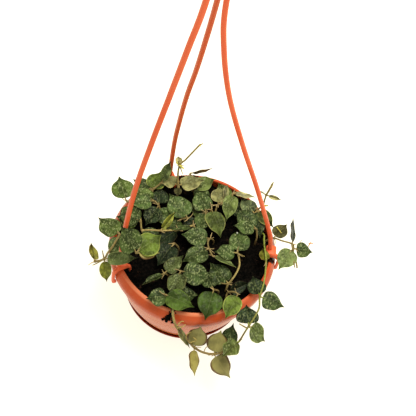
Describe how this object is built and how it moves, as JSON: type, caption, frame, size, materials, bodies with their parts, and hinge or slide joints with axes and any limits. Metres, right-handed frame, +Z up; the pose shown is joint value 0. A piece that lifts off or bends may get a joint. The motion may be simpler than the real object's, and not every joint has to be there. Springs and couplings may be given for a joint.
{
  "type": "potted hoya curtisii",
  "caption": "Hanging plastic pot with clip-on saucer and strand hanger, planted with creeping hoya vines of small spade-shaped silver-flecked leaves that trail over the rim.",
  "frame": {"origin": "centre of the saucer's flat underside", "axes": "+Z up along the pot's axis to the hook; -Y towards the viewer, where the front vine trails over the rim; +X to the viewer's right"},
  "size_m": [0.1881, 0.1796, 0.5159],
  "materials": {
    "saucer_plastic": "moulded terracotta-coloured plastic, half gloss",
    "pot_plastic": "moulded terracotta-coloured plastic, half gloss",
    "peat": "dark damp peat compost, matt and crumbly",
    "hanger_plastic": "moulded bright orange-red flexible plastic, half gloss",
    "hoya_leaf": "thick leathery green leaves with silver flecks, satin"
  },
  "bodies": {
    "root": {"saucer": "saucer_plastic", "pot": "pot_plastic", "soil": "peat", "hanger": "hanger_plastic", "hoya_vine_01": "hoya_leaf", "hoya_vine_02": "hoya_leaf", "hoya_vine_03": "hoya_leaf", "hoya_vine_04": "hoya_leaf", "hoya_vine_05": "hoya_leaf", "hoya_vine_06": "hoya_leaf", "hoya_vine_07": "hoya_leaf", "hoya_vine_08": "hoya_leaf", "hoya_vine_09": "hoya_leaf", "hoya_vine_10": "hoya_leaf", "hoya_vine_11": "hoya_leaf", "hoya_vine_12": "hoya_leaf", "hoya_vine_13": "hoya_leaf", "hoya_vine_14": "hoya_leaf", "hoya_vine_15": "hoya_leaf", "hoya_vine_16": "hoya_leaf", "hoya_vine_17": "hoya_leaf", "hoya_vine_18": "hoya_leaf", "hoya_vine_19": "hoya_leaf", "hoya_vine_20": "hoya_leaf", "hoya_vine_21": "hoya_leaf", "hoya_vine_22": "hoya_leaf", "hoya_vine_23": "hoya_leaf", "hoya_vine_24": "hoya_leaf", "hoya_vine_25": "hoya_leaf", "hoya_vine_26": "hoya_leaf", "hoya_vine_27": "hoya_leaf"}
  },
  "joints": []
}
